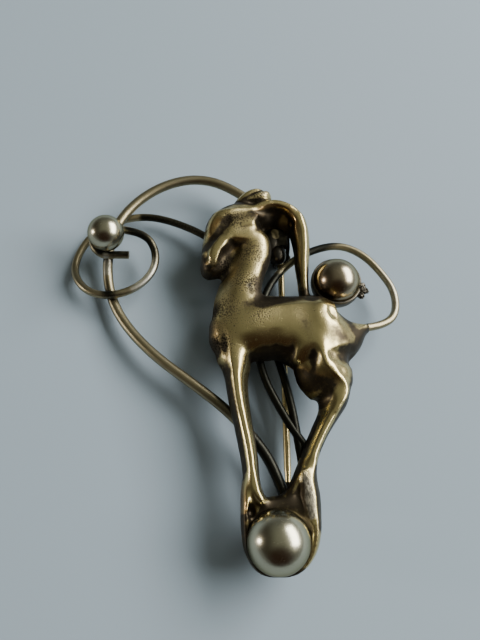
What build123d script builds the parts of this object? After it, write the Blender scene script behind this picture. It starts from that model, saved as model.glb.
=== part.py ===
from build123d import *
from math import cos, radians, sin, sqrt, tan
import os

os.makedirs("parts", exist_ok=True)

# A cast gazelle in relief on a ball, soldered to bent wires that carry two more balls, with a pin on its
# back. It lies on its back: +Z is up out of the relief, +Y points from the hooves to the horn, and the
# origin is under the middle of the whole brooch, at the height of the surface that it lies on.

# Reach of the brooch, mm. Across is measured from the pin, along from the middle of the bottom ball.
figure_height = 53.0
arch_height = 57.8
scroll_reach = 33.6
loop_reach = 17.7

# Heights above the surface, mm
figure_back = 4.7
relief_depth = 5.6
web_depth = 1.3
pin_level = 1.35

# Wires, mm
thick_wire = 1.55
thin_wire = 1.2
solder_gap = 0.05
arc_share = 0.45

# Bottom ball and its cup, mm
base_ball_size = 8.2
base_ball_level = 6.4
base_ball_offset = 2.3
base_cup_wall = 0.5
base_cup_drop = 1.2

# Right ball and its cup, mm
tail_ball_size = 6.5
tail_ball_level = 6.0
tail_cup_wall = 0.6
tail_cup_lip = 0.3

# Left ball and its collar, mm
scroll_ball_size = 5.5
ring_radius = 2.25
collar_foot = 2.6

# Pin, hinge and catch, mm
pin_wire = 1.0
pin_reach = 39.6
pin_point = 6.0
pin_tip = 0.25
pin_root = 1.25
pin_root_length = 1.9
rivet = 0.8
rivet_head = 1.4
rivet_head_height = 0.3
eye_rim = 0.7
ear_wall = 0.6
leaf_thickness = 0.8
leaf_length = 7.2
leaf_shift = 0.5
ear_length = 3.0
catch_length = 3.0
catch_wall = 0.6
side_gap = 0.1
running_gap = 0.05

# Places that follow from the sizes
base_cup_radius = base_ball_size / 2 + solder_gap + base_cup_wall
base_cup_rim = sqrt(base_cup_radius**2 - base_cup_drop**2)
tail_cup_radius = tail_ball_size / 2 + solder_gap + tail_cup_wall
pin_x = (scroll_reach - loop_reach) / 2
foot_y = (base_cup_rim - arch_height) / 2

# Heights of the wires where they pass each other
crossing = (thick_wire + thin_wire) / 2 + 4 * solder_gap
thick_level = figure_back - solder_gap - thick_wire / 2
thin_level = figure_back - solder_gap - thin_wire / 2
floor_level = thin_wire / 2
arch_level = 0.90 * thick_level
perch_level = 0.78 * thick_level
stem_low = 0.43 * thick_level
under_arch = arch_level - crossing
over_stem = stem_low + crossing
ring_level = perch_level + crossing
under_tail = thin_level - thin_wire - 3 * solder_gap
ball_to_ring = scroll_ball_size / 2 + thin_wire / 2 + solder_gap
scroll_ball_level = ring_level + sqrt(ball_to_ring**2 - ring_radius**2)

# Sections of the casting, from one end of each limb to the other. Across, along and half are shares of
# figure_height, relief is a share of relief_depth.
torso = [
    # across, along, half, relief
    (-0.213, 0.546, 0.030, 0.35),
    (-0.192, 0.543, 0.064, 0.57),
    (-0.151, 0.542, 0.082, 0.77),
    (-0.093, 0.556, 0.092, 0.85),
    (-0.025, 0.560, 0.093, 0.87),
    (0.044, 0.550, 0.108, 0.94),
    (0.106, 0.532, 0.109, 1.00),
    (0.157, 0.529, 0.079, 0.82),
    (0.194, 0.546, 0.042, 0.55),
    (0.222, 0.571, 0.014, 0.30),
]
neck = [
    # across, along, half, relief
    (-0.150, 0.530, 0.050, 0.62),
    (-0.146, 0.575, 0.066, 0.78),
    (-0.140, 0.638, 0.066, 0.80),
    (-0.135, 0.686, 0.058, 0.76),
    (-0.120, 0.735, 0.054, 0.75),
    (-0.106, 0.783, 0.057, 0.78),
    (-0.107, 0.833, 0.059, 0.82),
    (-0.113, 0.874, 0.058, 0.80),
]
head = [
    # across, along, half, relief
    (-0.095, 0.935, 0.038, 0.66),
    (-0.135, 0.910, 0.060, 0.83),
    (-0.168, 0.870, 0.063, 0.88),
    (-0.191, 0.826, 0.050, 0.79),
    (-0.205, 0.784, 0.038, 0.70),
    (-0.210, 0.747, 0.031, 0.60),
    (-0.210, 0.720, 0.020, 0.42),
]
horn = [
    # across, along, half, relief
    (-0.098, 0.915, 0.020, 0.72),
    (-0.055, 0.930, 0.023, 0.75),
    (-0.012, 0.930, 0.023, 0.74),
    (0.026, 0.913, 0.023, 0.72),
    (0.046, 0.880, 0.022, 0.68),
    (0.050, 0.838, 0.023, 0.62),
    (0.048, 0.786, 0.023, 0.56),
    (0.047, 0.742, 0.020, 0.47),
    (0.050, 0.700, 0.014, 0.38),
    (0.053, 0.660, 0.010, 0.30),
]
ear = [
    # across, along, half, relief
    (-0.127, 0.968, 0.012, 0.58),
    (-0.103, 0.978, 0.020, 0.66),
    (-0.076, 0.980, 0.023, 0.70),
    (-0.055, 0.978, 0.020, 0.64),
    (-0.038, 0.972, 0.010, 0.50),
]
hind_leg = [
    # across, along, half, relief
    (0.088, 0.507, 0.078, 0.92),
    (0.092, 0.464, 0.080, 0.85),
    (0.093, 0.426, 0.079, 0.78),
    (0.104, 0.388, 0.067, 0.67),
    (0.110, 0.356, 0.041, 0.60),
    (0.098, 0.320, 0.027, 0.56),
    (0.073, 0.275, 0.022, 0.53),
    (0.046, 0.224, 0.022, 0.50),
    (0.031, 0.185, 0.023, 0.50),
    (0.026, 0.148, 0.029, 0.50),
    (0.035, 0.107, 0.029, 0.53),
    (0.044, 0.069, 0.021, 0.50),
    (0.046, 0.029, 0.014, 0.46),
    (0.040, -0.010, 0.010, 0.40),
]
front_leg = [
    # across, along, half, relief
    (-0.159, 0.533, 0.055, 0.74),
    (-0.151, 0.484, 0.054, 0.70),
    (-0.142, 0.445, 0.039, 0.63),
    (-0.142, 0.406, 0.029, 0.60),
    (-0.137, 0.352, 0.027, 0.56),
    (-0.126, 0.299, 0.024, 0.54),
    (-0.117, 0.247, 0.024, 0.53),
    (-0.110, 0.197, 0.023, 0.51),
    (-0.105, 0.147, 0.021, 0.51),
    (-0.104, 0.111, 0.023, 0.53),
    (-0.114, 0.079, 0.018, 0.51),
    (-0.121, 0.047, 0.014, 0.46),
    (-0.124, 0.006, 0.010, 0.40),
]
hoof_bridge = [
    # across, along, half, relief
    (-0.108, 0.118, 0.014, 0.48),
    (-0.088, 0.096, 0.014, 0.45),
    (-0.062, 0.084, 0.013, 0.40),
    (-0.030, 0.084, 0.012, 0.36),
    (0.006, 0.088, 0.012, 0.36),
    (0.034, 0.096, 0.012, 0.40),
]
limbs = [torso, neck, head, horn, ear, hind_leg, front_leg, hoof_bridge]
centre_share = 0.3

# Recessed web between the head and the horn, as shares of figure_height
web = [(-0.085, 0.840), (-0.090, 0.912), (-0.010, 0.926), (0.038, 0.892), (0.044, 0.868), (-0.020, 0.874)]

# Corners of the wires' routes. Across is a share of the reach on that side, along of the arch's height
# for the two wires on the left and of the figure's height for the tail wire.
main_route = [
    # across, along, height
    (-0.089, 0.892, thick_level),
    (-0.246, 0.965, thick_level),
    (-0.410, 0.994, thick_level),
    (-0.575, 0.967, thick_level),
    (-0.718, 0.905, arch_level),
    (-0.805, 0.822, 0.5 * (arch_level + perch_level)),
    (-0.828, 0.727, 0.5 * (perch_level + stem_low)),
    (-0.803, 0.632, stem_low),
    (-0.722, 0.541, 0.58 * thick_level),
    (-0.580, 0.449, 0.82 * thick_level),
    (-0.396, 0.371, 0.96 * thick_level),
    (-0.250, 0.303, thick_level),
    (-0.110, 0.213, thick_level),
    (-0.051, 0.140, thick_level),
    (-0.028, 0.098, thick_level),
]
scroll_route = [
    # across, along, height
    (0.050, 0.150, thin_level),
    (0.027, 0.262, thin_level),
    (-0.003, 0.363, thin_level),
    (-0.054, 0.478, 0.5 * (thin_level + under_tail)),
    (-0.134, 0.598, under_tail),
    (-0.188, 0.697, under_tail),
    (-0.282, 0.778, under_tail),
    (-0.424, 0.838, 0.5 * (under_tail + under_arch)),
    (-0.612, 0.880, under_arch),
    (-0.762, 0.872, under_arch),
    (-0.890, 0.838, 0.5 * (under_arch + floor_level)),
    (-0.962, 0.786, floor_level),
    (-0.988, 0.718, floor_level),
    (-0.950, 0.662, 0.5 * (floor_level + over_stem)),
    (-0.880, 0.627, 0.8 * over_stem),
    (-0.780, 0.616, over_stem),
    (-0.667, 0.644, over_stem),
    (-0.598, 0.695, 0.7 * over_stem + 0.3 * ring_level),
    (-0.599, 0.750, 0.4 * over_stem + 0.6 * ring_level),
    (-0.652, 0.794, ring_level),
]
tail_route = [
    # across, along, height
    (0.824, 0.588, 1.08 * thin_level),
    (0.958, 0.626, thin_level),
    (0.974, 0.698, thin_level),
    (0.876, 0.760, thin_level),
    (0.712, 0.827, thin_level),
    (0.487, 0.857, thin_level),
    (0.192, 0.825, thin_level),
    (-0.062, 0.752, thin_level),
    (-0.196, 0.668, thin_level),
    (-0.266, 0.555, thin_level),
    (-0.212, 0.438, thin_level),
    (-0.088, 0.351, thin_level),
    (0.036, 0.270, thin_level),
]

# The small ring under the left ball: the way its corners face, in degrees, from the loop to the cut end
ring_corners = [75, 135, 195, 255]
ring_step = 60
ring_tail = 3.4

# Where the balls sit and the wires meet the figure, as shares of the sizes that they follow
tail_ball_place = (0.145, 0.711)
scroll_ball_place = (-0.819, 0.766)
rump_tip = (0.2275, 0.578)
pivot_place = (-0.003, 0.826)
catch_place = 0.125


# A point of the part, from its place across and along the figure
def place(across, along, height):
    return (pin_x + across, foot_y + along, height)


# The corners of a route at their real size
def route_points(route, reach, height):
    return [place(row[0] * reach, row[1] * height, row[2]) for row in route]


# The largest arc that the two runs at each corner allow
def bend_radii(points):
    radii = []
    for before, corner, after in zip(points, points[1:], points[2:]):
        run_in = Vector(corner) - Vector(before)
        run_out = Vector(after) - Vector(corner)
        half_turn = radians(run_in.get_angle(run_out)) / 2
        radii.append(arc_share * min(run_in.length, run_out.length) / tan(half_turn))
    return radii


# Sweeps a round wire along a route, into the part that is being made
def wire_along(points, diameter, mode=Mode.ADD):
    with BuildLine() as line:
        FilletPolyline(*points, radius=bend_radii(points))
    with BuildSketch(Plane(origin=line.line @ 0, z_dir=line.line % 0)) as section:
        Circle(diameter / 2)
    sweep(section.sketch, path=line.line, mode=mode)


# Lofts one limb of the casting through its oval sections, into the part that is being made
def limb(rows):
    sections = []
    for number, (across, along, half, relief) in enumerate(rows):
        before = rows[max(number - 1, 0)]
        after = rows[min(number + 1, len(rows) - 1)]
        height = relief * relief_depth
        centre = place(across * figure_height, along * figure_height, figure_back + centre_share * height)
        heading = (after[0] - before[0], after[1] - before[1], 0)
        with BuildSketch(Plane(origin=centre, x_dir=(heading[1], -heading[0], 0), z_dir=heading)) as section:
            Ellipse(half * figure_height, (1 - centre_share) * height)
        sections.append(section.sketch)
    loft(sections)


# The corners of the small ring, then the straight cut end of the wire
def ring_points(centre):
    reach = (ring_radius + solder_gap) / cos(radians(ring_step / 2))
    points = []
    for angle in ring_corners:
        across = reach * cos(radians(angle))
        along = reach * sin(radians(angle))
        points.append((centre[0] + across, centre[1] + along, ring_level))
    points.append((centre[0] + ring_tail, centre[1] - ring_radius, ring_level))
    return points


base_centre = place(-base_ball_offset, 0, base_ball_level)
tail_centre = place(tail_ball_place[0] * figure_height, tail_ball_place[1] * figure_height, tail_ball_level)
scroll_centre = place(scroll_ball_place[0] * scroll_reach, scroll_ball_place[1] * arch_height, scroll_ball_level)
pivot = place(pivot_place[0] * figure_height, pivot_place[1] * figure_height, pin_level)
main_points = route_points(main_route, scroll_reach, arch_height)
scroll_points = route_points(scroll_route, scroll_reach, arch_height) + ring_points(scroll_centre)
rump_point = place(rump_tip[0] * figure_height, rump_tip[1] * figure_height, 1.2 * thin_level)
tail_points = [rump_point] + route_points(tail_route, loop_reach, figure_height)

# The casting: limbs cut flat at the back, the web behind the horn and the cup for the bottom ball
with BuildPart() as gazelle:
    for rows in limbs:
        limb(rows)
    with BuildSketch(Plane.XY.offset(figure_back)):
        with BuildLine():
            Polyline(*[place(x * figure_height, y * figure_height, 0) for x, y in web], close=True)
        make_face()
    extrude(amount=web_depth)
    split(bisect_by=Plane.XY.offset(figure_back), keep=Keep.TOP)
    with BuildSketch(Plane.XZ.offset(-base_centre[1])):
        with Locations((base_centre[0], base_centre[2])):
            Circle(base_cup_radius)
        with Locations((base_centre[0], base_centre[2] - base_cup_drop)):
            below_rim = (Align.MIN, Align.MAX)
            Rectangle(base_cup_radius, base_cup_radius, align=below_rim, mode=Mode.INTERSECT)
    revolve(axis=Axis(base_centre, (0, 0, 1)))
    with Locations(base_centre):
        Sphere(base_ball_size / 2 + solder_gap, mode=Mode.SUBTRACT)
    with Locations(tail_centre):
        Sphere(tail_cup_radius + solder_gap, mode=Mode.SUBTRACT)

with BuildPart() as main_wire:
    wire_along(main_points, thick_wire)

with BuildPart() as scroll_wire:
    wire_along(scroll_points, thin_wire)

# The tail wire's lower end is filed to fit against the scroll wire
with BuildPart() as tail_wire:
    wire_along(tail_points, thin_wire)
    wire_along(scroll_points[:3], thin_wire + 2 * solder_gap, mode=Mode.SUBTRACT)

with BuildPart() as base_ball:
    with Locations(base_centre):
        Sphere(base_ball_size / 2)

with BuildPart() as tail_ball:
    with Locations(tail_centre):
        Sphere(tail_ball_size / 2)

with BuildPart() as scroll_ball:
    with Locations(scroll_centre):
        Sphere(scroll_ball_size / 2)

# The right ball's cup: half a hollow ball with a low lip
with BuildPart() as tail_cup:
    with Locations(tail_centre):
        Sphere(tail_cup_radius)
    split(bisect_by=Plane.XY.offset(tail_ball_level + tail_cup_lip), keep=Keep.BOTTOM)
    with Locations(tail_centre):
        Sphere(tail_ball_size / 2 + solder_gap, mode=Mode.SUBTRACT)

# The left ball's collar: a short cone on the main wire
collar_level = perch_level + thick_wire / 2 + solder_gap
collar_mouth = ring_radius - thin_wire / 2 - 2 * solder_gap
with BuildPart() as scroll_collar:
    with BuildSketch(Plane.XY.offset(collar_level)):
        with Locations(scroll_centre[:2]):
            Circle(collar_foot / 2)
    with BuildSketch(Plane.XY.offset(ring_level)):
        with Locations(scroll_centre[:2]):
            Circle(collar_mouth)
    loft()
    with Locations(scroll_centre):
        Sphere(scroll_ball_size / 2 + solder_gap, mode=Mode.SUBTRACT)

# The hinge: a leaf under the head and the horn, and two ears that stand on the surface
leaf_width = pin_wire + 2 * side_gap + 2 * ear_wall
leaf_level = figure_back - solder_gap - leaf_thickness
with BuildPart() as pin_hinge:
    with BuildSketch(Plane.XY.offset(leaf_level)):
        with Locations((pivot[0] - leaf_shift, pivot[1] + leaf_thickness)):
            Rectangle(leaf_width, leaf_length, align=(Align.CENTER, Align.MIN))
    extrude(amount=leaf_thickness)
    fillet(pin_hinge.edges().filter_by(Axis.Z).group_by(Axis.Y)[-1], leaf_width / 2.2)
    with BuildSketch(Plane.YZ.offset(pivot[0] - leaf_width / 2)):
        with Locations((pivot[1], pivot[2])):
            Circle(pin_level)
        with Locations((pivot[1] + leaf_thickness, leaf_level)):
            Rectangle(ear_length, leaf_thickness / 2, align=(Align.MIN, Align.MIN))
        make_hull()
    extrude(amount=leaf_width)
    with BuildSketch(Plane.YZ.offset(pivot[0] - leaf_width / 2 + ear_wall)):
        with Locations((pivot[1], leaf_level)):
            Rectangle(2 * ear_length + 4 * pin_level, 4 * leaf_level, align=(Align.CENTER, Align.MAX))
    extrude(amount=leaf_width - 2 * ear_wall, mode=Mode.SUBTRACT)
    with BuildSketch(Plane.YZ.offset(pivot[0] - leaf_width / 2)):
        with Locations((pivot[1], pivot[2])):
            Circle(rivet / 2 + running_gap)
    extrude(amount=leaf_width, mode=Mode.SUBTRACT)

# The rivet, peened to a low head at both ends
with BuildPart() as hinge_rivet:
    with BuildSketch(Plane.YZ.offset(pivot[0] - leaf_width / 2 - solder_gap - rivet_head_height)):
        with Locations((pivot[1], pivot[2])):
            Circle(rivet_head / 2)
    extrude(amount=rivet_head_height)
    with BuildSketch(Plane.YZ.offset(pivot[0] + leaf_width / 2 + solder_gap)):
        with Locations((pivot[1], pivot[2])):
            Circle(rivet_head / 2)
    extrude(amount=rivet_head_height)
    with BuildSketch(Plane.YZ.offset(pivot[0] - leaf_width / 2 - solder_gap)):
        with Locations((pivot[1], pivot[2])):
            Circle(rivet / 2)
    extrude(amount=leaf_width + 2 * solder_gap)

# The pin: an eye on the rivet, a thicker root, the straight wire and the point
eye_radius = rivet / 2 + running_gap + eye_rim
with BuildPart() as pin_stem:
    with BuildSketch(Plane.XY.offset(pin_level)):
        with BuildLine():
            Polyline(
                (pivot[0], pivot[1]),
                (pivot[0] + pin_root / 2, pivot[1]),
                (pivot[0] + pin_wire / 2, pivot[1] - pin_root_length),
                (pivot[0] + pin_wire / 2, pivot[1] - pin_reach + pin_point),
                (pivot[0] + pin_tip / 2, pivot[1] - pin_reach),
                (pivot[0], pivot[1] - pin_reach),
                close=True,
            )
        make_face()
    revolve(axis=Axis(pivot, (0, 1, 0)))
    with BuildSketch(Plane.YZ.offset(pivot[0] - pin_wire / 2)):
        with Locations((pivot[1], pivot[2])):
            Circle(eye_radius)
    extrude(amount=pin_wire)
    with BuildSketch(Plane.YZ.offset(pivot[0] - pin_wire)):
        with Locations((pivot[1], pivot[2])):
            Circle(rivet / 2 + running_gap)
    extrude(amount=2 * pin_wire, mode=Mode.SUBTRACT)

# The catch: a bent strip under the stem's foot, open downwards, the way the pin swings
catch_top = thick_level - thick_wire / 2 - solder_gap
catch_width = pin_wire + 2 * side_gap + 2 * catch_wall
with BuildPart() as pin_catch:
    with BuildSketch(Plane.XZ.offset(-foot_y - catch_place * figure_height - catch_length / 2)):
        with Locations((pivot[0], 0)):
            upright = (Align.CENTER, Align.MIN)
            Rectangle(catch_width, catch_top, align=upright)
            Rectangle(catch_width - 2 * catch_wall, pin_level, align=upright, mode=Mode.SUBTRACT)
        with Locations((pivot[0], pin_level)):
            Circle(pin_wire / 2 + side_gap, mode=Mode.SUBTRACT)
    extrude(amount=catch_length)

# Each piece is labelled and written to a file of its own
gazelle.part.label = "gazelle"
export_step(gazelle.part, "parts/gazelle.step")
main_wire.part.label = "main_wire"
export_step(main_wire.part, "parts/main_wire.step")
scroll_wire.part.label = "scroll_wire"
export_step(scroll_wire.part, "parts/scroll_wire.step")
tail_wire.part.label = "tail_wire"
export_step(tail_wire.part, "parts/tail_wire.step")
base_ball.part.label = "base_ball"
export_step(base_ball.part, "parts/base_ball.step")
tail_ball.part.label = "tail_ball"
export_step(tail_ball.part, "parts/tail_ball.step")
scroll_ball.part.label = "scroll_ball"
export_step(scroll_ball.part, "parts/scroll_ball.step")
tail_cup.part.label = "tail_cup"
export_step(tail_cup.part, "parts/tail_cup.step")
scroll_collar.part.label = "scroll_collar"
export_step(scroll_collar.part, "parts/scroll_collar.step")
pin_hinge.part.label = "pin_hinge"
export_step(pin_hinge.part, "parts/pin_hinge.step")
hinge_rivet.part.label = "hinge_rivet"
export_step(hinge_rivet.part, "parts/hinge_rivet.step")
pin_stem.part.label = "pin_stem"
export_step(pin_stem.part, "parts/pin_stem.step")
pin_catch.part.label = "pin_catch"
export_step(pin_catch.part, "parts/pin_catch.step")
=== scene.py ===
"""The gazelle brooch, finished: a brass gazelle on a polished ball, bent wires with balls, and a pin."""

import math

import bpy
import numpy as np
from mathutils import Matrix, Vector


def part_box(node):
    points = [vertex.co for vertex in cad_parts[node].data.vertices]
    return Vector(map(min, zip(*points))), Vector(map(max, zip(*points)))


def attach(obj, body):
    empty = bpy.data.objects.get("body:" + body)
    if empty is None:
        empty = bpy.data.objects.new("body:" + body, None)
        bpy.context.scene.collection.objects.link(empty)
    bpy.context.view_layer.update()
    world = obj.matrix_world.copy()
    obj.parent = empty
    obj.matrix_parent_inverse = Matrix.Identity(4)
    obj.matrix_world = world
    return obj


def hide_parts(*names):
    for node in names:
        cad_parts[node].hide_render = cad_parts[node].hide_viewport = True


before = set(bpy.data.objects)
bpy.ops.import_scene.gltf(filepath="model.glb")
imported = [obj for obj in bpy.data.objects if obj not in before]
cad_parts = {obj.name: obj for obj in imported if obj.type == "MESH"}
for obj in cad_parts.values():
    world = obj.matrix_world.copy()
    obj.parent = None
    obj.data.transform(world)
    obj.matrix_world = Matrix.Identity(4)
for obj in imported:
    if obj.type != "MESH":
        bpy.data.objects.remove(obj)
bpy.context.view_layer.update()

mm = 0.001

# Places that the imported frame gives. Tables of places are in millimetres across and along from the foot,
# which is beside the middle of the bottom ball, in line with the pin.


def middle(node):
    low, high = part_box(node)
    return (low + high) / 2


def half_width(node):
    low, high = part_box(node)
    return (high.x - low.x) / 2


base_centre = middle("base_ball")
tail_centre = middle("tail_ball")
scroll_centre = middle("scroll_ball")
base_radius = half_width("base_ball")
tail_ball_extra = 0.2 * mm
tail_radius = half_width("tail_ball") + tail_ball_extra
scroll_radius = half_width("scroll_ball")
ball_offset = 2.3 * mm
foot = Vector((base_centre.x + ball_offset, base_centre.y, 0))
back_level = 4.7 * mm
solder_gap = 0.05 * mm
cup_wall = 0.75 * mm
base_cup_wall = 0.25 * mm
thick_wire = 1.55 * mm
thin_wire = 1.2 * mm


def spot(across, along, height=0.0):
    """A point of the part from millimetres across and along from the foot, and up from the floor."""
    return foot + Vector((across, along, height)) * mm


# Objects and meshes. Points nearer than these gaps are merged.

seam_gap = 0.002 * mm
loose_gap = 0.001 * mm


def select_only(piece):
    bpy.ops.object.select_all(action="DESELECT")
    piece.select_set(True)
    bpy.context.view_layer.objects.active = piece


def apply_modifier(piece, kind, **settings):
    select_only(piece)
    modifier = piece.modifiers.new(kind.title(), kind)
    for name, value in settings.items():
        setattr(modifier, name, value)
    bpy.ops.object.modifier_apply(modifier=modifier.name)


def join(name, pieces):
    select_only(pieces[0])
    for piece in pieces:
        piece.select_set(True)
    bpy.ops.object.join()
    pieces[0].name = name
    return pieces[0]


def new_object(name, data):
    made = bpy.data.objects.new(name, data)
    bpy.context.scene.collection.objects.link(made)
    return made


def mesh_piece(name, points, faces):
    mesh = bpy.data.meshes.new(name)
    mesh.from_pydata([tuple(point) for point in points], [], faces)
    mesh.update()
    return new_object(name, mesh)


def settle(piece):
    """Puts the piece's place into its mesh, and shades it smooth."""
    select_only(piece)
    bpy.ops.object.transform_apply(location=True, rotation=True, scale=True)
    bpy.ops.object.shade_smooth()


def finish(piece, material, slot, *nodes, body="brooch"):
    """Gives a piece its material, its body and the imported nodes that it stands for."""
    piece.data.materials.clear()
    piece.data.materials.append(material)
    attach(piece, body)
    if nodes:
        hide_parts(*nodes)


# The casting: each limb is lofted through its sections, then all are fused, carved and smoothed

# Sections: across, along, half width and relief, and where the dome isn't plain, its crest and squareness.
# The crest is a share of the half width, to the right of the way that the limb runs.
plain_dome = (0.0, 2.0)
torso = [
    (-11.6, 28.9, 1.2, 1.8),
    (-10.6, 28.9, 3.3, 3.3),
    (-8.2, 29.0, 4.4, 4.5, 0.0, 2.1),
    (-4.9, 29.6, 4.9, 4.9, 0.0, 2.4),
    (-1.3, 29.8, 4.9, 5.0, 0.0, 2.5),
    (2.3, 29.2, 5.8, 5.2, 0.0, 2.5),
    (4.0, 28.9, 5.9, 5.4, 0.0, 2.6),
    (5.6, 28.7, 5.6, 5.1, 0.0, 2.4),
    (7.2, 28.6, 4.8, 4.5, 0.0, 2.2),
    (9.3, 29.1, 2.8, 3.1),
    (11.1, 30.0, 1.1, 2.0),
    (12.1, 30.5, 0.7, 1.3),
]
neck = [
    (-7.6, 27.8, 1.6, 3.2),
    (-7.7, 30.3, 3.4, 4.3, 0.1, 2.0),
    (-7.6, 33.4, 3.5, 4.4, 0.3, 2.1),
    (-7.2, 36.4, 3.1, 4.2, 0.4, 2.2),
    (-6.4, 39.0, 2.9, 4.2, 0.4, 2.2),
    (-5.7, 41.5, 3.1, 4.3, 0.35, 2.2),
    (-5.7, 43.6, 3.2, 4.4, 0.25, 2.1),
    (-6.0, 45.4, 2.6, 4.0),
]
head = [
    (-4.4, 49.3, 1.3, 3.2),
    (-6.3, 48.3, 2.7, 4.5, 0.0, 2.3),
    (-8.6, 46.3, 3.6, 4.9, 0.0, 2.3),
    (-9.8, 43.8, 3.0, 4.7, 0.1, 2.2),
    (-10.5, 41.7, 2.6, 4.3, 0.1, 2.1),
    (-11.0, 40.2, 2.2, 3.9, 0.1, 2.1),
    (-11.2, 39.2, 1.9, 3.4, 0.0, 2.1),
    (-11.1, 38.4, 1.5, 2.6, 0.0, 2.1),
    (-11.0, 37.9, 0.9, 1.6),
]
throat = [(-10.6, 39.6, 1.6, 2.8), (-9.0, 39.9, 2.0, 2.9), (-7.2, 40.6, 2.0, 2.9)]
nape = [
    (-8.4, 46.4, 1.6, 4.5, 0.0, 2.4),
    (-6.6, 46.5, 1.8, 4.5, 0.0, 2.6),
    (-5.2, 46.6, 1.5, 4.3, 0.0, 2.8),
    (-4.4, 46.7, 1.0, 3.6, 0.0, 2.4),
]
horn = [
    (-6.2, 47.6, 0.9, 4.2),
    (-4.2, 49.0, 1.2, 4.3, -0.1, 2.2),
    (-1.8, 49.8, 1.2, 4.3, -0.05, 2.2),
    (0.4, 49.2, 1.3, 4.2, 0.0, 2.3),
    (1.8, 47.7, 1.45, 4.0, 0.0, 2.4),
    (2.35, 45.7, 1.45, 3.7, 0.0, 2.4),
    (2.6, 43.0, 1.25, 3.3, 0.0, 2.4),
    (2.55, 40.4, 1.1, 2.8, 0.0, 2.3),
    (2.6, 38.0, 0.9, 2.3, 0.0, 2.1),
    (2.7, 35.8, 0.85, 2.0),
    (2.9, 34.0, 0.9, 1.8),
]
horn_fillet = [
    (-4.6, 47.2, 0.9, 4.1),
    (-3.4, 47.9, 1.2, 3.2),
    (-2.2, 48.5, 1.2, 2.7),
    (-0.8, 48.6, 1.1, 2.5),
    (0.4, 47.8, 1.0, 2.4),
    (1.2, 46.6, 0.8, 2.0),
]
cup_solder = [
    (2.6, 34.4, 0.6, 1.4),
    (3.9, 34.9, 0.6, 1.5),
    (5.2, 34.8, 0.7, 1.5),
    (6.4, 33.8, 0.8, 1.7),
]
ear = [
    (-8.4, 49.5, 0.5, 2.5),
    (-6.9, 50.4, 1.3, 3.6, -0.1, 2.2),
    (-5.3, 51.1, 1.75, 4.2, -0.1, 2.4),
    (-3.9, 51.4, 1.8, 4.4, 0.0, 2.4),
    (-2.8, 51.4, 1.5, 4.0, 0.0, 2.2),
    (-2.2, 51.2, 0.8, 2.8),
]
hind_leg = [
    (4.6, 27.6, 2.9, 4.4, 0.0, 2.2),
    (4.8, 25.0, 4.0, 4.5, 0.0, 2.2),
    (5.0, 22.8, 4.2, 4.1, -0.1, 2.0),
    (5.5, 20.6, 3.4, 3.8, -0.30, 1.9),
    (5.8, 18.9, 2.2, 3.5, -0.35, 1.8),
    (5.2, 17.0, 1.5, 3.2, -0.3, 1.8),
    (3.9, 14.6, 1.25, 3.0, -0.3, 1.8),
    (2.6, 11.9, 1.2, 2.8, -0.3, 1.8),
    (2.0, 9.8, 1.25, 2.9, -0.2, 1.9),
    (2.1, 7.8, 1.3, 2.9, 0.35, 2.4),
    (2.35, 5.8, 1.35, 2.9, 0.4, 2.4),
    (2.5, 3.6, 1.2, 2.6, 0.4, 2.3),
    (2.5, 1.6, 1.0, 2.2),
    (2.25, -0.4, 0.8, 1.7),
    (1.5, -2.1, 0.55, 1.3),
    (0.3, -3.3, 0.4, 1.0),
    (-1.1, -3.85, 0.3, 0.7),
    (-2.4, -3.95, 0.25, 0.6),
]
inner_strand = [
    (1.7, 10.6, 0.8, 2.2),
    (0.9, 8.4, 0.95, 2.4),
    (0.1, 6.8, 0.95, 2.3),
    (-1.0, 5.6, 0.9, 2.0),
    (-2.2, 5.0, 0.7, 1.7),
]
front_leg = [
    (-7.9, 28.0, 2.0, 3.9, 0.0, 2.1),
    (-7.9, 25.6, 2.7, 3.9),
    (-7.6, 23.6, 2.1, 3.6, 0.1, 1.9),
    (-7.5, 21.5, 1.65, 3.4, 0.15, 1.8),
    (-7.2, 18.7, 1.5, 3.2, 0.15, 1.8),
    (-6.7, 15.8, 1.35, 3.0, 0.1, 1.8),
    (-6.2, 13.1, 1.3, 3.0, 0.05, 1.8),
    (-5.8, 10.4, 1.2, 2.9, 0.0, 1.8),
    (-5.6, 8.2, 1.15, 3.0, 0.0, 1.8),
    (-5.3, 6.7, 1.1, 3.0, 0.0, 1.9),
    (-4.8, 5.6, 1.0, 2.8),
    (-4.1, 4.8, 0.85, 2.4),
    (-3.6, 4.4, 0.5, 1.7),
]
heel = [
    (-6.0, 8.6, 0.7, 2.2),
    (-6.2, 6.6, 0.85, 2.5),
    (-6.35, 4.6, 0.75, 2.6),
    (-6.4, 2.8, 0.7, 2.3),
    (-6.35, 1.2, 0.65, 2.0),
    (-6.2, -0.5, 0.55, 1.6),
    (-5.6, -2.1, 0.45, 1.3),
    (-4.7, -3.2, 0.4, 1.0),
    (-3.5, -3.8, 0.3, 0.7),
    (-2.2, -3.95, 0.25, 0.6),
]
hoof_floor = [
    (1.7, 8.8, 0.8, 1.9, 0.0, 2.4),
    (1.2, 6.8, 1.2, 2.0, 0.0, 2.4),
    (1.0, 4.8, 1.4, 1.9, 0.0, 2.4),
    (1.6, 3.4, 1.2, 1.7, 0.0, 2.4),
]
heel_floor = [
    (-6.0, 8.6, 0.7, 2.2),
    (-5.9, 6.8, 0.9, 2.5, 0.0, 2.2),
    (-5.7, 5.2, 0.9, 2.2, 0.0, 2.2),
    (-5.4, 4.0, 0.8, 1.7),
]
ball_seat = [
    (-6.2, 1.8, 0.7, 1.6),
    (-5.1, 3.4, 0.9, 1.7),
    (-3.5, 4.5, 1.2, 2.0),
    (-1.5, 4.7, 1.4, 2.1),
    (0.4, 4.4, 1.9, 2.1),
    (1.5, 3.4, 1.8, 2.0),
    (2.2, 1.4, 0.9, 1.7),
]
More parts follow.
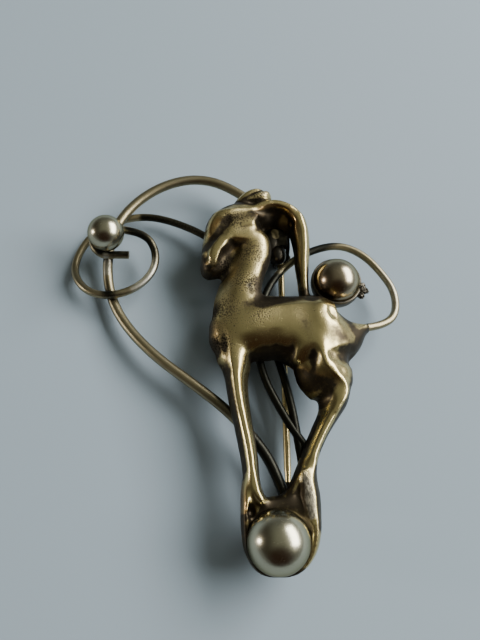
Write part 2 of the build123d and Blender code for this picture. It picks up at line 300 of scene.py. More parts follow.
limbs = [torso, neck, head, throat, nape, horn, horn_fillet, ear, cup_solder]
limbs += [hind_leg, inner_strand, front_leg, heel, hoof_floor, heel_floor, ball_seat]
row_steps = 7
section_steps = 26
figure_voxel = 0.1551 * mm
edge_height = 1.2 * mm

# The web behind the horn, as corners across and along
web_outline = [(-3.9, 45.2), (-4.9, 47.4), (-3.4, 49.0), (-0.6, 49.2), (2.0, 47.4)]
web_outline += [(2.4, 45.6), (1.6, 46.2), (0.4, 47.3), (-1.2, 47.7), (-2.8, 46.9)]
web_depth = 0.9

# Where the limbs run into each other, as across, along, reach and how much they are smoothed
blends = {
    "neck_to_body": [(-9.8, 32.5, 2.6, 1), (-7, 32.5, 2.8, 1), (-4.4, 33.2, 2.4, 1)],
    "chest": [(-9.5, 29, 3, 1), (-8.8, 26.5, 3, 1), (-7.6, 24.5, 2, 0.7)],
    "belly": [(-5.8, 26.5, 1.8, 0.8), (-3.5, 27, 1.5, 0.5)],
    "thigh": [(2, 26.5, 2.4, 1), (4.8, 26.5, 2.6, 1), (7.6, 25.5, 2.4, 1)],
    "knee": [(4.5, 22, 1.8, 0.5), (6.5, 20.3, 1.4, 0.3)],
    "tail": [(8.5, 28.5, 1.8, 0.8), (10.8, 29.8, 1, 0.5)],
    "cheek": [(-7, 46.8, 1.8, 1), (-7.4, 45, 1.8, 0.8)],
    "jowl": [(-6.4, 44.2, 1.9, 1), (-7.4, 42.8, 1.9, 1), (-8.4, 41.6, 1.4, 0.7)],
    "throat": [(-7.6, 41, 1.4, 0.6), (-9.4, 38.8, 1.4, 0.6)],
    "horn_root": [(-5.6, 48, 1.6, 0.8), (-3.6, 49, 1, 0.4)],
    "front_hoof": [(-5.9, 8, 1.1, 0.6), (-5.8, 6.6, 0.9, 0.3)],
    "ball_seat": [(-3.2, 4.6, 1.2, 0.6), (-0.8, 5, 1.4, 0.5)],
    "hind_hoof": [(1.8, 9.8, 1.2, 0.8), (1.4, 8.2, 0.9, 0.3)],
}
blend_turns = 60
blend_gain = 1.3

# Where the finished skin is polished softer, in the same columns, and how many rounds of smoothing it gets
polished = {
    "belly": [(-6, 26.6, 1.5, 0.7), (-3.6, 26.7, 1.8, 1), (-0.6, 26.8, 1.8, 1), (1.4, 27, 1.4, 0.6)],
    "rump": [(5, 30.6, 2.2, 0.8), (6, 28.8, 2.4, 0.9), (7.2, 27.4, 2, 0.6)],
}
skin_turns = 12
polish_turns = 40

# Strokes that shape the surface: across, along, reach to each side and depth, all in millimetres
carved = {
    "eye": [(-9.2, 46.2, 1.1, 0.3), (-9.8, 45.3, 1.6, 0.8), (-10.4, 44.3, 1.7, 0.9), (-11.2, 43.2, 1.5, 0.5)],
    "nose_side": [(-11.8, 43, 1.4, 0.2), (-12.2, 41.9, 1.3, 0.35), (-12.3, 41, 1, 0.2)],
    "nostril": [(-12.3, 41, 0.5, 0.2), (-12.4, 40.2, 0.55, 0.5), (-12.2, 39.5, 0.45, 0.3)],
    "mouth": [(-12.4, 38.9, 0.3, 0.2), (-11.7, 38.6, 0.35, 0.3), (-10.9, 38.6, 0.3, 0.2)],
    "jaw": [
        (-7.9, 41.9, 1.3, 0.1), (-8.5, 41.2, 1.6, 0.4), (-9.1, 40.4, 1.7, 0.7), (-9.6, 39.3, 1.4, 0.6),
        (-10, 38.1, 1.1, 0.3),
    ],
    "ear_groove": [
        (-6.7, 50.6, 0.5, 0.15), (-5.4, 51.2, 0.6, 0.45), (-4.2, 51.8, 0.6, 0.5), (-3.2, 52.5, 0.5, 0.4),
    ],
    "horn_hollow": [(-3.4, 47, 0.8, 0.3), (-2.4, 47.9, 1, 0.4), (-0.6, 48, 1.1, 0.4), (0.6, 46.8, 0.9, 0.3)],
    "rear_hollow": [(6, 24.6, 1.4, 0.35), (7.3, 24.7, 1.9, 0.6), (8.8, 25, 1.9, 0.5)],
    "thigh_dent": [(3, 25.4, 1, 0.1), (3, 24, 1.1, 0.3), (3.1, 22.6, 0.9, 0.15)],
    "thigh_front": [(0.2, 27, 1.2, 0.15), (0.2, 25.8, 1.2, 0.35), (0.2, 24.8, 1, 0.2)],
    "shoulder": [
        (-9.9, 28.9, 0.8, 0.1), (-9.3, 26.8, 0.8, 0.2), (-9.1, 24.8, 0.7, 0.15), (-8.9, 22.3, 0.6, 0.1),
    ],
    "heel_hole": [(-5.7, 4.2, 0.6, 0.5), (-5.7, 3.5, 0.65, 0.6)],
}
raised = {
    "cheek": [
        (-9, 42.6, 0.8, 0.02), (-9.9, 41.3, 0.85, 0.3), (-10.4, 40.3, 0.75, 0.35), (-10.8, 39.4, 0.7, 0.25),
    ],
    "crown": [
        (-11.3, 47.4, 0.8, 0.15), (-9.1, 47.5, 0.9, 0.25), (-7.1, 47.8, 0.9, 0.25), (-4.1, 48.7, 0.8, 0.15),
    ],
    "rump_edge": [(5.1, 25.2, 1, 0.05), (5.8, 25.6, 1.1, 0.15), (7.3, 26, 1.1, 0.2), (8.4, 26.6, 1, 0.15)],
    "thigh_ridge": [
        (3.9, 26.4, 1.2, 0.05), (4.3, 24.6, 1.2, 0.3), (4.7, 23.3, 1.2, 0.38), (5.8, 22.2, 1.2, 0.38),
        (7.1, 21, 1, 0.35), (7.5, 20, 0.9, 0.35), (7.2, 18.9, 0.8, 0.3), (5.9, 16.9, 0.6, 0.2),
    ],
    "back_edge": [(-7.8, 30.9, 0.9, 0.1), (-4.2, 30.6, 1, 0.2), (-1.4, 31.6, 1, 0.2), (2.7, 32.2, 1, 0.1)],
}
# Wide swells, in the same columns
swells = {
    "flank": [(-4.6, 29.4, 2.6, 0.1), (-2.2, 29.8, 2.6, 0.2), (-0.6, 30, 2.2, 0.1)],
    "thigh": [(3.9, 26.6, 1.5, 0.1), (4.4, 24.4, 1.5, 0.25), (5.8, 22.4, 1.3, 0.2)],
    "stifle": [(0.8, 25.2, 1, 0.15), (0.7, 24.4, 1.2, 0.45), (1.3, 23.4, 1.1, 0.2)],
    "rump": [(4.6, 31.2, 2, 0.12), (5.4, 29.2, 2.2, 0.18), (6.4, 27.4, 2, 0.12)],
    "brow": [(-12, 45.2, 1, 0.1), (-11.6, 46.4, 1.1, 0.25), (-10.4, 47.2, 1.2, 0.25), (-8.4, 47.3, 1.2, 0.1)],
    "chest": [(-10.4, 30.4, 1.8, 0.1), (-10.2, 28, 1.8, 0.2), (-9.6, 26.2, 1.6, 0.1)],
}
# Where the top is flattened towards a height above the back: across, along, reach and that height
flattened = {
    "cheek": [(-8.6, 45.4, 1.5, 4.55), (-7.2, 45.9, 2, 4.75), (-5.6, 46.3, 1.9, 4.9), (-4.6, 46.6, 1.2, 4.9)],
    "horn_inside": [(0.9, 46.9, 0.7, 3.7), (1.6, 45.4, 0.7, 3.3), (1.8, 43, 0.6, 2.9), (1.8, 40.4, 0.5, 2.4)],
    "horn_outside": [(2.9, 48.4, 0.7, 3.7), (3.45, 45.8, 0.7, 3.4), (3.5, 43, 0.7, 3), (3.3, 40.4, 0.6, 2.4)],
    "horn_ridge": [
        (2, 47.9, 0.6, 4.1), (2.6, 45.7, 0.6, 3.8), (2.65, 43, 0.6, 3.4), (2.6, 40.4, 0.5, 2.85),
        (2.6, 38, 0.4, 2.3),
    ],
    "jowl": [(-8.9, 43.7, 1.3, 4.5), (-7.4, 43.6, 1.5, 4.5), (-5.9, 43.8, 1.5, 4.5)],
    "flank": [(-4.4, 29.4, 1.6, 4.95), (-1.4, 29.6, 1.8, 5.05), (1.2, 29.6, 1.6, 5.15)],
    "rump_near": [(4.4, 31.6, 0.9, 4.95), (4.6, 30.2, 0.8, 5.15)],
    "rump_far": [(5.7, 31.2, 0.8, 4.4), (6, 30.2, 0.7, 4.55)],
    "hoof": [(1.3, 8.6, 0.9, 2.9), (1.5, 6.4, 1, 2.8), (1.8, 4.4, 1, 2.6), (2, 2.8, 0.8, 2.3)],
}
flat_gain = 1.4

# Where the casting is painted darker, by settled tarnish and by painted shade that dims highlights and
# deepens undersides: across, along, reach and how dark
stained_and_shaded = {
    "horn_hollow": [
        (-3.4, 46.2, 0.9, 0.5), (-2.6, 46.9, 1.1, 0.6), (-0.8, 47.2, 1.1, 0.5), (0.5, 45.8, 0.9, 0.4),
    ],
    "horn_inside": [(0.9, 46.6, 0.8, 0.3), (1.1, 44, 0.6, 0.3), (1.2, 41, 0.6, 0.3), (1.7, 37.6, 0.5, 0.4)],
    "horn_edge": [(2, 49.8, 0.6, 0.3), (4, 46.8, 0.6, 0.5), (4.1, 43, 0.6, 0.5), (3.7, 39, 0.5, 0.5)],
    "cup_solder": [(3.6, 35.2, 1.3, 0.9), (5.2, 35.2, 1.3, 0.9), (6.4, 34.2, 1.3, 0.7)],
    "horn_foot": [(2.6, 37, 1.1, 0.3), (2.8, 35, 1.3, 0.9), (3.2, 33.8, 1.6, 0.8)],
    "jaw": [(-7.6, 42.6, 1, 0.05), (-8.4, 41.6, 1.4, 0.2), (-9.2, 40.2, 1.7, 0.5), (-10, 38.4, 1.6, 0.8)],
    "eye": [(-9.2, 46, 0.8, 0.5), (-9.9, 44.9, 1.2, 0.6), (-10.8, 43.6, 1.4, 0.7), (-11.9, 42, 1.3, 0.8)],
    "brow": [(-9.6, 47, 2.8, 0.34), (-6.8, 46.6, 2.8, 0.48), (-5, 47, 2, 0.48)],
    "muzzle": [(-12.9, 40.6, 0.9, 0.7), (-12.6, 39, 1, 0.8), (-11.6, 38, 1, 0.9), (-10.2, 37.7, 1, 0.9)],
    "forehead": [
        (-12.6, 46, 1.2, 0.5), (-11.4, 49, 1.5, 0.8), (-8.6, 49.8, 1.7, 0.8), (-5.4, 49.8, 1.1, 0.6),
    ],
    "ear": [(-6.6, 50.6, 0.5, 0.5), (-5.2, 51.3, 0.5, 0.6), (-4.2, 51.8, 0.5, 0.6), (-3.3, 52.4, 0.4, 0.5)],
    "ear_root": [(-7.4, 49.4, 0.9, 0.5), (-5.4, 49.9, 0.9, 0.6), (-3.4, 50.2, 0.8, 0.5)],
    "neck_side": [
        (-2.6, 43.8, 0.9, 0.6), (-2.6, 40.8, 0.9, 0.6), (-3.6, 37.2, 0.9, 0.6), (-4, 34.8, 1.4, 0.7),
    ],
    "back": [
        (-6.2, 32, 1.3, 0.4), (-4, 32.2, 2, 0.8), (-1.4, 33, 1.8, 0.8), (1.4, 33.9, 1.7, 0.8),
        (4.4, 33.9, 1.6, 0.7),
    ],
    "neck": [(-6, 43.6, 2.2, 0.2), (-5.6, 40.4, 2.4, 0.28), (-6.8, 36.4, 3.2, 0.28), (-8.2, 33, 3.2, 0.22)],
    "neck_band": [
        (-4.6, 44.4, 1.1, 0.3), (-4.1, 41.2, 1.2, 0.3), (-3.8, 38.6, 1.3, 0.4), (-4.4, 36, 1.6, 0.35),
    ],
    "neck_foot": [(-4.6, 36, 1.8, 0.35), (-5.4, 34.4, 1.6, 0.4), (-4.4, 33.4, 1.3, 0.4)],
    "flank": [(0.6, 31.2, 1.5, 0.2), (1.4, 30, 1.6, 0.35), (1.9, 28.4, 1.5, 0.35), (2.4, 26.8, 1.2, 0.2)],
    "leg_plane": [
        (-8.5, 22.4, 0.8, 0.4), (-8.1, 18.7, 0.8, 0.6), (-7.1, 13.1, 0.7, 0.6), (-6.5, 9, 0.6, 0.5),
    ],
    "chest": [(-11.4, 32.5, 1.8, 0.3), (-11, 29, 2.2, 0.45), (-10.2, 25.8, 1.6, 0.5)],
    "shoulder": [(-9.5, 27.4, 0.8, 0.2), (-9.1, 25, 0.8, 0.4), (-8.9, 22, 0.6, 0.2)],
    "belly": [(-4.2, 25, 1.4, 0.6), (-2.2, 25, 1.6, 0.9), (-0.2, 24.8, 1.5, 0.9), (-0.2, 24, 0.9, 0.7)],
    "thigh_under": [(1.2, 22.4, 1.3, 0.7), (3.2, 21.2, 1.7, 0.8), (5.2, 20.4, 1.5, 0.8), (4.4, 18.4, 1, 0.9)],
    "thigh_dent": [(2.9, 25, 0.8, 0.3), (3, 23.8, 0.9, 0.5), (3, 22.8, 0.8, 0.4)],
    "rear_hollow": [(5.9, 24.6, 1, 0.2), (7.4, 24.6, 1.6, 0.4), (9, 25.2, 1.7, 0.4), (8.8, 23.2, 1.4, 0.5)],
    "knee_side": [(8.6, 21.6, 1.1, 0.6), (8.4, 19.4, 0.9, 0.6), (6.6, 16.6, 0.6, 0.6), (3.8, 11.6, 0.6, 0.5)],
    "hind_inner": [(3.4, 16.4, 0.7, 0.8), (1.6, 12.4, 0.8, 0.8), (0.2, 8.8, 0.9, 0.9), (-0.8, 6.4, 0.9, 0.9)],
    "front_inner": [
        (-5.4, 22.4, 0.8, 0.6), (-5.3, 17, 0.7, 0.6), (-4.5, 11, 0.6, 0.6), (-4.2, 7.6, 0.6, 0.6),
    ],
    "front_outer": [(-9.3, 22.6, 0.7, 0.4), (-8.7, 19, 0.7, 0.5), (-7.5, 12, 0.6, 0.5), (-6.9, 8, 0.5, 0.3)],
    "saddle": [(-4, 4.2, 1, 0.8), (-2.2, 4.8, 1.5, 1), (0.2, 5, 1.6, 1), (0.9, 7, 0.8, 0.9)],
    "seat": [
        (-5.2, 2.8, 0.7, 0.7), (-3.6, 4, 1, 1), (-1.5, 4.3, 1.2, 1), (0.6, 3.8, 1.6, 1), (1.9, 1.6, 0.8, 0.9),
    ],
    "rim": [(-6.2, -0.6, 0.7, 0.3), (-5, -3, 0.8, 0.4), (-2.3, -4.2, 0.8, 0.3), (0.8, -3.4, 0.7, 0.2)],
    "heel": [(-5.6, 3.8, 0.7, 1), (-6.9, 2.6, 0.9, 0.9), (-6.9, 1.6, 0.8, 0.6)],
    "hoof_side": [(2.8, 9.4, 0.8, 0.5), (3, 7, 1.1, 0.9), (3.3, 4.5, 1.2, 0.9), (3.2, 2, 1.1, 0.8)],
    "horn_root": [(-5.6, 46.8, 1.2, 0.2), (-4.8, 46.2, 1.2, 0.45), (-4.4, 44.8, 0.9, 0.3)],
    "horn_bend": [(-5.2, 47.8, 1, 0.2), (-4.2, 47.8, 1.1, 0.35), (-2.8, 47.8, 1, 0.6)],
    "rump": [(4.4, 29.4, 2, 0.3), (6, 28.4, 2.2, 0.5), (7.2, 27.2, 2.2, 0.7)],
    "thigh_crest": [(4.4, 24.4, 1, 0.25), (5.8, 22.2, 1, 0.3), (7.2, 20.4, 0.9, 0.25)],
    "jaw_ridge": [(-8.8, 43, 0.9, 0.4), (-9.9, 41.4, 0.9, 0.45), (-10.6, 40, 0.7, 0.35)],
    "rump_side": [(7.6, 31.4, 1.2, 0.4), (9.4, 29, 1.5, 0.7), (10.4, 28.2, 1.6, 0.9), (12, 30.4, 0.7, 0.5)],
    "tail_under": [(8.8, 26.6, 1.2, 0.4), (9.8, 27, 1.2, 0.8), (11, 29, 0.9, 0.6)],
}
stain_and_shade_gain = 1.7
# Where the tarnish is coppery and a painted warm reflection shows, and where old solder shows silver: across,
# along, reach and how much
coppery_and_reflected = {
    "eye": [(-10.6, 46, 0.9, 0.7), (-11.3, 45, 0.9, 0.8), (-11.6, 43.8, 0.8, 0.4)],
    "horn": [
        (-4.8, 47.2, 1.3, 0.8), (-3.6, 48.2, 1.4, 1), (-2.2, 48.6, 1.2, 1), (0.2, 48.4, 1.2, 0.8),
        (1.1, 46.8, 1, 0.8),
    ],
    "horn_inside": [(1.1, 46, 1, 0.8), (1.2, 43, 0.9, 0.7), (1.4, 40.5, 0.8, 0.6)],
    "muzzle": [(-12.6, 39.6, 1, 0.6), (-11.6, 38.4, 0.9, 0.6), (-10.6, 38.4, 0.9, 0.3)],
    "jaw": [(-6.4, 42.8, 1.2, 0.3), (-7.6, 42.5, 1.3, 0.7), (-8.8, 41.4, 1, 0.4)],
    "chest": [(-11.2, 29.4, 1.3, 0.4), (-11, 27.4, 1.4, 0.6), (-10.4, 25.6, 1, 0.4)],
    "thigh": [(1.6, 23, 1.2, 0.5), (2.6, 22, 1.4, 0.8), (4.4, 21.4, 1.2, 0.7), (6, 20.8, 0.9, 0.4)],
    "heel": [(-6.9, 7.2, 0.7, 0.4), (-6.8, 5.2, 0.8, 0.8), (-6.6, 4, 0.7, 0.8), (-6.9, 0.6, 0.7, 0.7)],
    "shin": [(-7.2, 12, 0.4, 0.3), (-6.8, 9, 0.5, 0.4)],
}
silvered = {
    "hoof": [(1.1, 8.8, 0.8, 0.4), (1.4, 7.2, 1.1, 0.9), (1.7, 5.2, 1.1, 1), (2, 3.2, 0.9, 0.8)],
    "neck_foot": [(-5.2, 36.4, 0.6, 0.3), (-5.9, 35.2, 0.9, 0.6), (-5.6, 34.2, 0.8, 0.4)],
    "ear": [(-3, 52, 0.6, 0.5), (-3.8, 51, 0.6, 0.5)],
    "muzzle": [(-11.7, 39.4, 0.6, 0.4), (-11, 39.2, 0.5, 0.3)],
}
tint_gain = 1.4
# Where hands and cloths have kept it bright, and where painted light brightens highlights and lifts the
# darkening: across, along, reach and how bright
rubbed_and_lit = {
    "rump": [(4.6, 31.4, 1.8, 0.6), (5.5, 30.9, 1.8, 1.2), (6.1, 29.8, 1.4, 0.7)],
    "horn": [
        (-0.6, 50, 0.7, 0.3), (1.6, 48.6, 0.8, 0.5), (2.7, 46, 0.9, 0.8), (2.8, 42, 0.8, 0.8),
        (2.6, 38.4, 0.7, 0.5),
    ],
    "thigh": [(4.2, 27, 1.2, 0.5), (4.4, 24.4, 0.9, 0.5), (6, 22.2, 0.9, 0.5), (7.4, 20.2, 0.8, 0.6)],
    "ball_wall": [(3, 0.4, 0.7, 0.4), (2.4, -1.6, 0.7, 0.6), (0.8, -3.3, 0.6, 0.4)],
    "leg": [(-4.4, 26.8, 0.6, 0.6), (-6.8, 24.8, 0.7, 0.9), (-7.6, 21, 0.6, 0.9), (-6, 9, 0.5, 0.8)],
    "stifle": [(1.2, 24.8, 0.9, 0.6), (1.3, 23.8, 0.9, 0.9)],
    "jowl": [(-6.6, 42.6, 1.3, 0.5), (-7.6, 42.4, 1.5, 0.9), (-8.6, 41.4, 1.2, 0.5)],
}
rub_and_light_gain = 0.6
# Where the skin of the casting is rough: across, along and reach
rough_places = [
    (-9.6, 31.5, 4.5), (-9.8, 26.5, 3), (-6.5, 36, 3.5), (-5.4, 40.5, 3.8),
    (-9.5, 39.5, 2.2), (-8, 46, 3.4), (-4.5, 50.8, 2.4), (-4.4, 30.2, 2.6),
]
# How much painted shade and tarnish come from steep and low places, painted shade from downward places,
# tarnish from hollow places, and painted shade and tarnish from a ball nearby
steep_shade_and_tarnish = 0.75
low_shade_and_tarnish = 0.3
low_height = 3.0
under_shade = 0.9
under_from = 0.35
hollow_tarnish = 5.0
ball_shade_and_tarnish = 1.5
ball_reach = 0.7 * mm


def smooth_rows(rows, steps):
    """The rows with evenly spaced ones between them, on a curve through all of them."""
    table = np.array([rows[0]] + list(rows) + [rows[-1]])
    result = []
    for number in range(1, len(table) - 2):
        before, start, end, after = table[number - 1 : number + 3]
        for step in range(steps):
            t = step / steps
            bend = 2 * start + (end - before) * t
            bend = bend + (2 * before - 5 * start + 4 * end - after) * t**2
            bend = bend + (3 * start - before - 3 * end + after) * t**3
            result.append(bend / 2)
    result.append(table[-2])
    return np.array(result)


def limb_piece(sections):
    """One limb of the casting: domed sections that stand on the flat back."""
    rows = smooth_rows([section + plain_dome[len(section) - 4 :] for section in sections], row_steps)
    heading = np.gradient(rows[:, :2], axis=0)
    heading /= np.linalg.norm(heading, axis=1)[:, None]
    points = []
    for (across, along, half, relief, crest, square), (run_x, run_y) in zip(rows, heading):
        for step in range(section_steps + 1):
            angle = math.pi * step / section_steps
            side = math.copysign(abs(math.cos(angle)) ** (2 / square), -math.cos(angle))
            rise = max(math.sin(angle), 0.0) ** (2 / square)
            shift = half * (side + crest * rise)
            place = spot(across + run_y * shift, along - run_x * shift)
            points.append(place + Vector((0, 0, back_level + relief * rise * mm)))
    count = section_steps + 1
    last = (len(rows) - 1) * count
    faces = []
    for row in range(0, last, count):
        for side in range(count):
            near = row + side
            beside = row + (side + 1) % count
            faces.append((near, beside, beside + count, near + count))
    faces.append(tuple(range(count))[::-1])
    faces.append(tuple(range(last, last + count)))
    return mesh_piece("limb", points, faces)


def web_piece():
    """The thin sheet of the casting between the head and the horn."""
    corners = len(web_outline)
    points = [spot(*corner) + Vector((0, 0, back_level)) for corner in web_outline]
    points += [point + Vector((0, 0, web_depth * mm)) for point in points]
    faces = [tuple(range(corners))[::-1], tuple(range(corners, 2 * corners))]
    for side in range(corners):
        beside = (side + 1) % corners
        faces.append((side, beside, beside + corners, side + corners))
    return mesh_piece("web", points, faces)


def read(piece, what):
    """The places (co) or the normals (normal) of a piece's points."""
    values = np.empty(len(piece.data.vertices) * 3)
    piece.data.vertices.foreach_get(what, values)
    return values.reshape(-1, 3)


def write_points(piece, points):
    piece.data.vertices.foreach_set("co", points.ravel())
    piece.data.update()


def smoothed(piece, points, turns, strength=0.5):
    """The points after so many rounds of moving each one towards the mean of its neighbours."""
    edges = np.empty(len(piece.data.edges) * 2, int)
    piece.data.edges.foreach_get("vertices", edges)
    near, far = edges.reshape(-1, 2).T
    count = len(points)
    around = np.bincount(near, minlength=count) + np.bincount(far, minlength=count)
    points = points.copy()
    for turn in range(turns):
        for axis in range(3):
            line = points[:, axis]
            total = np.bincount(near, line[far], count) + np.bincount(far, line[near], count)
            points[:, axis] = line + strength * (total / around - line)
    return points


def flat_places(points):
    """Across and along of each point, in millimetres."""
    return (points[:, :2] - np.array(foot.xy)) / mm


def stroke(points, rows, sharp=False):
    """How near each point is to a stroke, 1 on its line and 0 at its reach, and the last column there."""
    flat = flat_places(points)
    nearness = np.zeros(len(points))
    column = np.zeros(len(points))
    for start, end in zip(rows, rows[1:]):
        start, end = np.array(start), np.array(end)
        run = end[:2] - start[:2]
        share = np.clip((flat - start[:2]) @ run / (run @ run), 0, 1)
        near = start + share[:, None] * (end - start)
        distance = np.linalg.norm(flat - near[:, :2], axis=1) / near[:, 2]
        fade = np.clip(1 - distance, 0, 1) ** 2 if sharp else np.clip(1 - distance**2, 0, 1) ** 2
        column = np.where(fade > nearness, near[:, 3], column)
        nearness = np.maximum(nearness, fade)
    return nearness, column


def stroke_strength(points, rows, sharp=False):
    nearness, amount = stroke(points, rows, sharp)
    return nearness * amount


def strongest(points, strokes):
    """The strongest of a table's strokes at each point."""
    return np.max([stroke_strength(points, rows) for rows in strokes.values()], axis=0)


def summed(points, strokes):
    """What all of a table's strokes come to at each point."""
    return sum(stroke_strength(points, rows) for rows in strokes.values())


def above_back(points):
    """0 on the flat back, rising to 1 a little above it, so that strokes leave the outline alone."""
    return np.clip((points[:, 2] - back_level) / edge_height, 0, 1)


def blend(piece):
    """Smooths the skin where the limbs run into each other."""
    points = read(piece, "co")
    strength = np.clip(strongest(points, blends) * blend_gain, 0, 1) * above_back(points)
    write_points(piece, smoothed(piece, points, blend_turns, strength))


def sculpt(piece, strokes, sign, sharp=False):
    """Raises the skin along strokes where the sign is 1, and lowers it where the sign is -1."""
    points = read(piece, "co")
    normals = read(piece, "normal")
    reach = above_back(points)
    for rows in strokes.values():
        amount = sign * stroke_strength(points, rows, sharp) * reach * mm
        points = points + normals * amount[:, None]
    write_points(piece, points)


def flatten(piece):
    """Levels the top of the skin along strokes, less where it is steep."""
    points = read(piece, "co")
    upward = np.clip(2 * read(piece, "normal")[:, 2] - 0.6, 0, 1)
    for rows in flattened.values():
        nearness, height = stroke(points, rows)
        share = np.clip(flat_gain * nearness, 0, 1) * upward
        points[:, 2] += share * (back_level + height * mm - points[:, 2])
    write_points(piece, points)


def polish(piece):
    """The points of the skin, smoothed a little all over and more where it is level or polished."""
    points = smoothed(piece, read(piece, "co"), skin_turns)
    level = np.clip(10 * (read(piece, "normal")[:, 2] - 0.9), 0, 1)
    return smoothed(piece, points, polish_turns, 0.5 * np.maximum(level, strongest(points, polished)))


def push_out(points, centre, radius):
    """Moves the points that are inside a ball onto its surface."""
    offset = points - np.array(centre)
    distance = np.linalg.norm(offset, axis=1)[:, None]
    return np.where(distance < radius, np.array(centre) + offset / distance * radius, points)


def make_figure():
    figure = join("gazelle_casting", [limb_piece(sections) for sections in limbs] + [web_piece()])
    apply_modifier(figure, "REMESH", mode="VOXEL", voxel_size=figure_voxel)
    blend(figure)
    flatten(figure)
    sculpt(figure, swells, 1)
    sculpt(figure, raised, 1, sharp=True)
    sculpt(figure, carved, -1)
    apply_modifier(figure, "REMESH", mode="VOXEL", voxel_size=figure_voxel)
    points = push_out(polish(figure), base_centre, base_radius + solder_gap)
    points = push_out(points, tail_centre, tail_radius + cup_wall)
    write_points(figure, points)
    settle(figure)
    return figure


figure = make_figure()


# Shader maths: a field is a value that varies over a surface, and sums of fields add their own nodes


class Field:
    def __init__(self, paint, socket):
        self.paint = paint
        self.socket = socket

    def __add__(self, other):
        return self.paint.maths("ADD", self, other)

    def __sub__(self, other):
        return self.paint.maths("SUBTRACT", self, other)

    def __rsub__(self, other):
        return self.paint.maths("SUBTRACT", other, self)

    def __mul__(self, other):
        return self.paint.maths("MULTIPLY", self, other)

    __radd__ = __add__
    __rmul__ = __mul__


class Paint:
    """The nodes of one material or of the world."""

    def __init__(self, owner):
        self.owner = owner
        owner.use_nodes = True
        self.tree = owner.node_tree
        self.tree.nodes.clear()

    def node(self, kind, settings=None, **inputs):
        """A new node. Its inputs are named with _ for a space, or numbered as in _0."""
        made = self.tree.nodes.new("ShaderNode" + kind)
        for name, value in (settings or {}).items():
            setattr(made, name, value)
        for name, value in inputs.items():
            socket = made.inputs[int(name[1:])] if name[0] == "_" else made.inputs[name.replace("_", " ")]
            if isinstance(value, Field):
                self.tree.links.new(value.socket, socket)
            else:
                socket.default_value = value
        return made

    def field(self, output, kind, settings=None, **inputs):
        """One output of a new node."""
        return Field(self, self.node(kind, settings, **inputs).outputs[output])

    def maths(self, operation, first, second):
        return self.field(0, "Math", {"operation": operation}, _0=first, _1=second)

    def place(self):
        return self.field("Object", "TexCoord")

    def noise(self, scale, detail=2.0, roughness=0.5, seed=0.0, stretch=(1, 1, 1)):
        """Cloudy noise with so many clouds to a millimetre."""
        where = self.field(0, "Mapping", Vector=self.place(), Location=(seed, seed, seed), Scale=stretch)
        inputs = {"Vector": where, "Scale": scale / mm, "Detail": detail, "Roughness": roughness}
        return self.field("Fac", "TexNoise", **inputs)

    def cells(self, scale):
        """Distance from the nearest of many scattered points, with so many to a millimetre."""
        return self.field("Distance", "TexVoronoi", Vector=self.place(), Scale=scale / mm)

    def dots(self, places):
        """1 in small round dots, 0 elsewhere: across, along, height and size in millimetres."""
        clear = 1.0
        for across, along, height, size in places:
            centre = spot(across, along, height)
            away = self.field("Value", "VectorMath", {"operation": "DISTANCE"}, _0=self.place(), _1=centre)
            clear = self.ramp(away, 0.6 * size * mm, size * mm) * clear
        return 1 - clear

    def attribute(self, name):
        return self.field("Fac", "Attribute", {"attribute_name": name})

    def ramp(self, value, low, high):
        """0 below the low value, 1 above the high one and smooth between."""
        smooth = {"interpolation_type": "SMOOTHSTEP"}
        return self.field("Result", "MapRange", smooth, Value=value, From_Min=low, From_Max=high)

    def mix(self, share, first, second):
        """The first colour where the share is 0 and the second where it is 1."""
        return self.field(2, "Mix", {"data_type": "RGBA"}, _0=share, _6=first, _7=second)

    def facing(self, way, direction):
        """How far a way points in a direction: 1 along it, 0 across it."""
        direction = Vector(direction).normalized()
        return self.field("Value", "VectorMath", {"operation": "DOT_PRODUCT"}, _0=way, _1=direction)

    def metal(self, colour, roughness, height, depth, **inputs):
        """Bare metal of a colour and a roughness, with bumps that are so many millimetres deep."""
        bumps = self.field("Normal", "Bump", Height=height, Distance=depth * mm, Strength=1.0)
        inputs.update(Base_Color=colour, Metallic=1.0, Roughness=roughness, Normal=bumps)
        self.node("OutputMaterial", Surface=self.field(0, "BsdfPrincipled", **inputs))
        return self.owner


def new_paint(name):
    return Paint(bpy.data.materials.new(name))


def rgb(red, green, blue):
    return (red, green, blue, 1.0)


# Finishes

# Pits that the casting left: across, along, height and size in millimetres
casting_pits = [
    (-8.3, 44.6, 9.4, 0.22), (-8, 44.8, 9.4, 0.2), (-7.7, 45, 9.4, 0.18), (-7.1, 44.8, 9.3, 0.16),
    (-7.7, 45.7, 9.5, 0.18), (-8.1, 46.4, 9.5, 0.18), (-8.4, 46.7, 9.4, 0.16), (-9.3, 31.6, 9.1, 0.2),
    (-8.2, 31.2, 9.2, 0.18), (-8.1, 28.6, 9, 0.2), (-5, 26.8, 8.7, 0.26), (-6.4, 26.4, 8.6, 0.18),
    (-5.4, 28.4, 9.3, 0.16), (4.2, 30.6, 9.9, 0.14), (3.2, 30.9, 9.9, 0.14),
]
# Painted highlights on the solder of the hinge, in the same columns
painted_hinge_highlights = [(-1.4, 46.9, 4.7, 0.75), (-1.3, 46.2, 4.7, 0.7), (-1.2, 42.2, 4.4, 0.4)]


